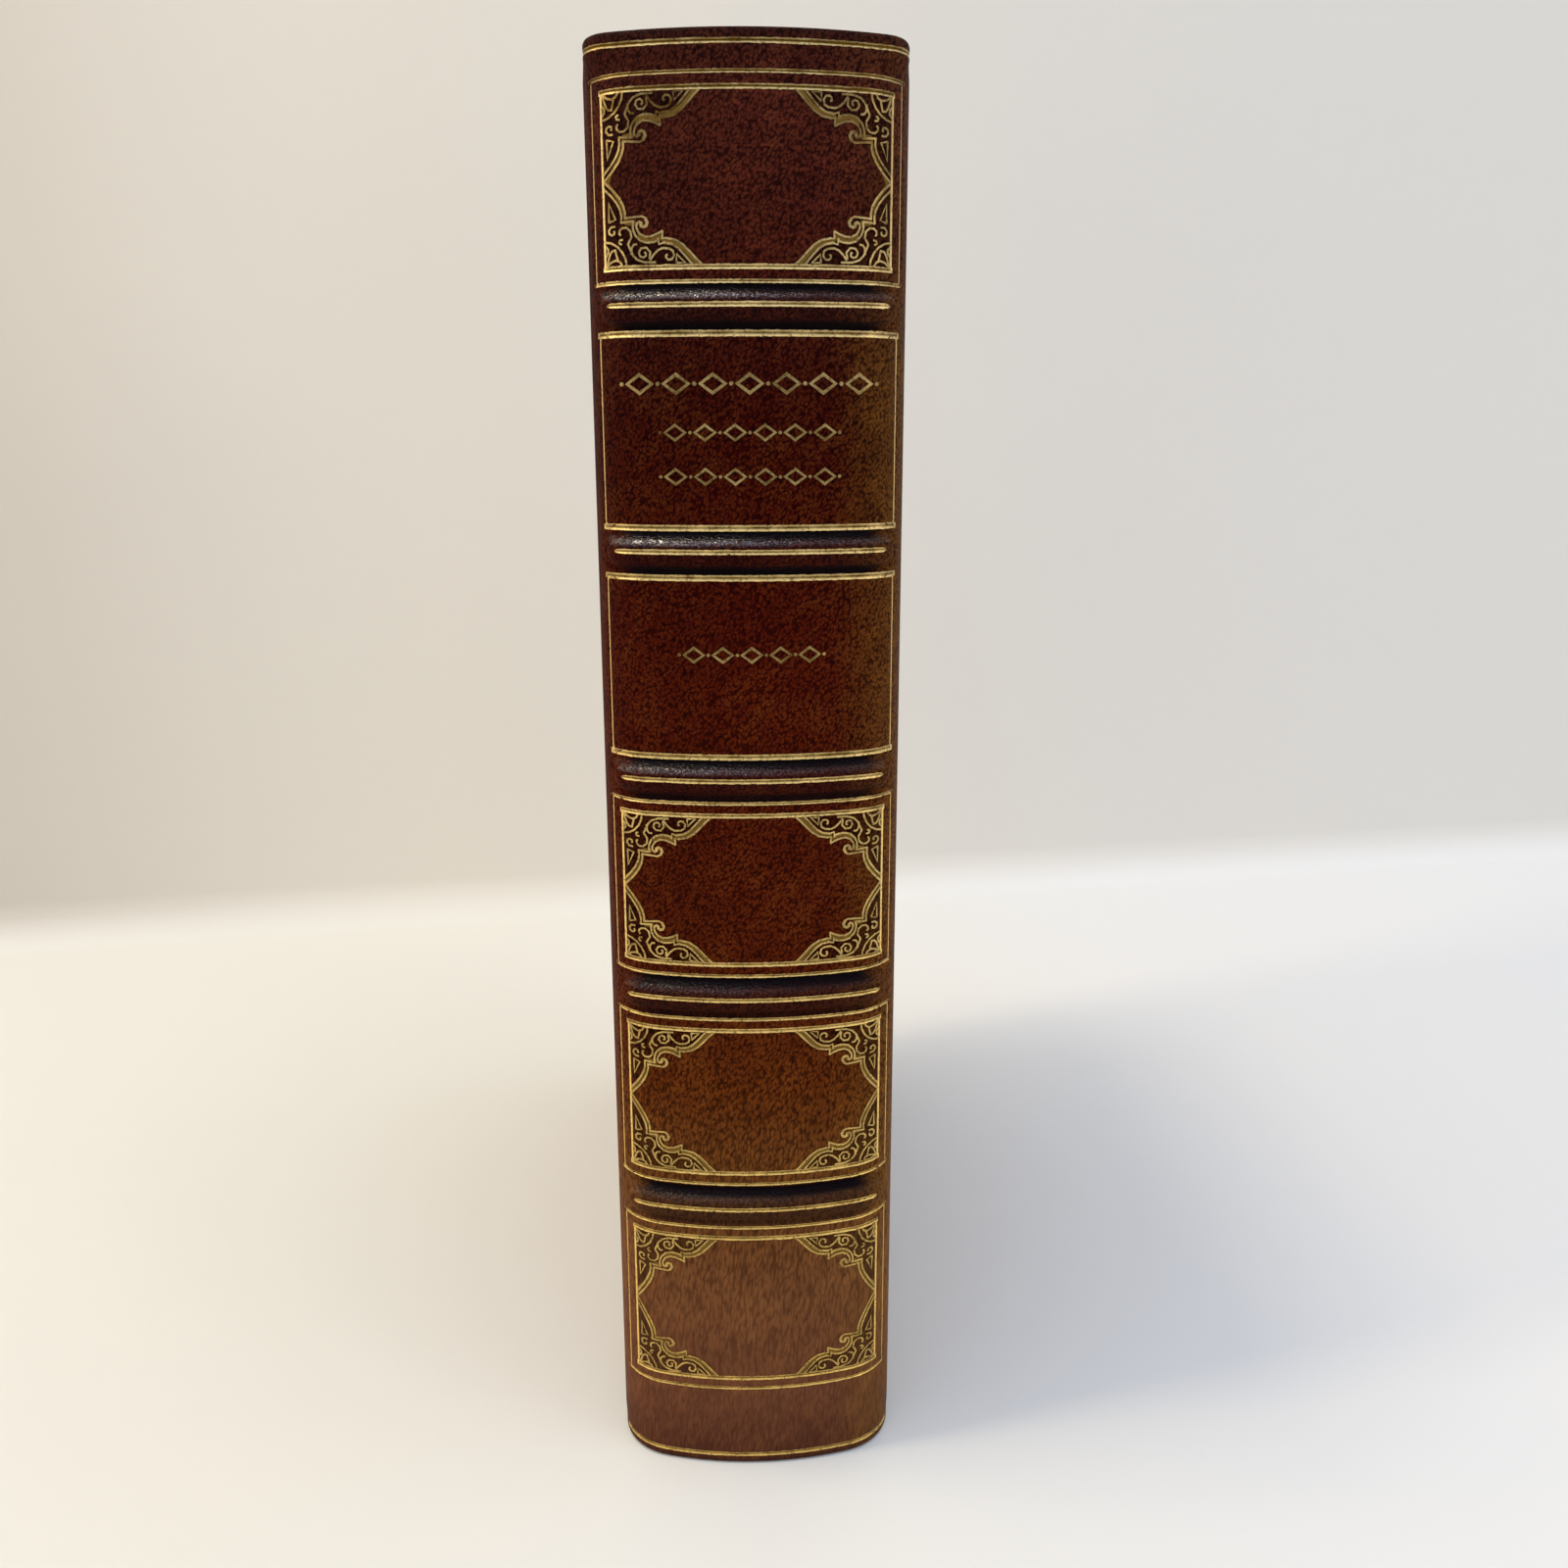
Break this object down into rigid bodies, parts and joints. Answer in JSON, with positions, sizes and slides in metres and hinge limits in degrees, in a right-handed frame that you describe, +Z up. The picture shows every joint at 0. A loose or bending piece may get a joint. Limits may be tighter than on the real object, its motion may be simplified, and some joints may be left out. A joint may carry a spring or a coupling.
{
  "type": "antique leather book",
  "caption": "Closed octavo book in full brown leather, rounded spine with raised bands and gilt scroll-cornered panels, hinged boards, standing on its tail.",
  "frame": {"origin": "middle of the bottom of the standing book, on the plane of the tail edges", "axes": "+Z up to the head, +Y from the spine to the fore edge, +X to the front cover's side"},
  "size_m": [0.0494, 0.1659, 0.24],
  "materials": {
    "leather": "polished goatskin, fine grain, darker at the bands",
    "gilt": "gold leaf tooled into the leather, slightly worn",
    "pages": "cut paper edges, cream",
    "endpaper": "plain laid paper",
    "millboard": "matt pressed board",
    "lining": "cloth and paper, glued",
    "linen": "plain woven tape",
    "silk": "two-colour silk over a cord core",
    "band_strip": "undyed leather strip"
  },
  "bodies": {
    "book_block": {"text_block": "pages", "sewing_tapes": "linen", "spine_lining": "lining", "front_flyleaf": "endpaper", "back_flyleaf": "endpaper", "head_endband": "silk", "tail_endband": "silk", "raised_band_1": "band_strip", "raised_band_2": "band_strip", "raised_band_3": "band_strip", "raised_band_4": "band_strip", "raised_band_5": "band_strip", "spine_leather": "leather", "gilt_cap_lines": "gilt", "gilt_band_lines": "gilt", "gilt_frame_1": "gilt", "gilt_frame_2": "gilt", "gilt_frame_3": "gilt", "gilt_frame_4": "gilt", "gilt_frame_5": "gilt", "gilt_frame_6": "gilt", "gilt_corners_1": "gilt", "gilt_corners_4": "gilt", "gilt_corners_5": "gilt", "gilt_corners_6": "gilt", "gilt_lozenges_2": "gilt", "gilt_lozenges_3": "gilt"},
    "front_cover": {"front_board": "millboard", "front_cover_leather": "leather", "front_pastedown": "endpaper"},
    "back_cover": {"back_board": "millboard", "back_cover_leather": "leather", "back_pastedown": "endpaper"}
  },
  "joints": [
    {"name": "front_cover_hinge", "type": "hinge", "parent": "book_block", "child": "front_cover", "pos_m": [0.02487, -0.06799, 0.12], "axis": [0, 0, -1], "range_deg": [0, 170]},
    {"name": "back_cover_hinge", "type": "hinge", "parent": "book_block", "child": "back_cover", "pos_m": [-0.02487, -0.06799, 0.12], "axis": [0, 0, 1], "range_deg": [0, 170]}
  ]
}
